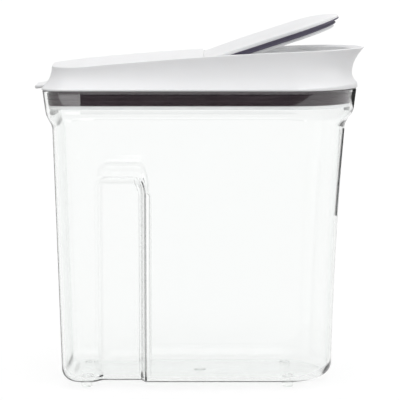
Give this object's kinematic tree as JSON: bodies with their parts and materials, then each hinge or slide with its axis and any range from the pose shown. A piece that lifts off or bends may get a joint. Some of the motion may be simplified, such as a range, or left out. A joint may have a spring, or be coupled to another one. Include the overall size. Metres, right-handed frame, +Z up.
{
  "type": "dry food keeper with flip spout",
  "caption": "Clear tapered kitchen keeper for dry food, with a lift-off sealed white lid that rises to a pouring lip under a hinged flip cover.",
  "frame": {"origin": "on the plane the feet stand on, at the middle of the whole object's length and width", "axes": "+X along the length towards the pouring lip, +Y across the width, +Z up"},
  "size_m": [0.2494, 0.1102, 0.2808],
  "materials": {
    "clear_shell": "clear, gloss",
    "lid_white": "satin gloss",
    "lid_inner": "satin",
    "lid_seal_rubber": "matt",
    "flip_seal_rubber": "matt",
    "pin_plastic": "satin"
  },
  "bodies": {
    "container": {"container": "clear_shell"},
    "lid": {"lid_shell": "lid_white", "lid_frame": "lid_inner", "lid_seal": "lid_seal_rubber"},
    "flip": {"flip_cover": "lid_white", "flip_seal": "flip_seal_rubber", "flip_plate": "lid_inner", "hinge_pin_near": "pin_plastic", "hinge_pin_far": "pin_plastic"}
  },
  "joints": [
    {"name": "lid_lift", "type": "slide", "parent": "container", "child": "lid", "axis": [0, 0, 1], "range_m": [0, 0.06]},
    {"name": "flip_hinge", "type": "hinge", "parent": "lid", "child": "flip", "pos_m": [0.011, 0, 0.24592], "axis": [0, -1, 0], "range_deg": [-15.3, 60]}
  ]
}
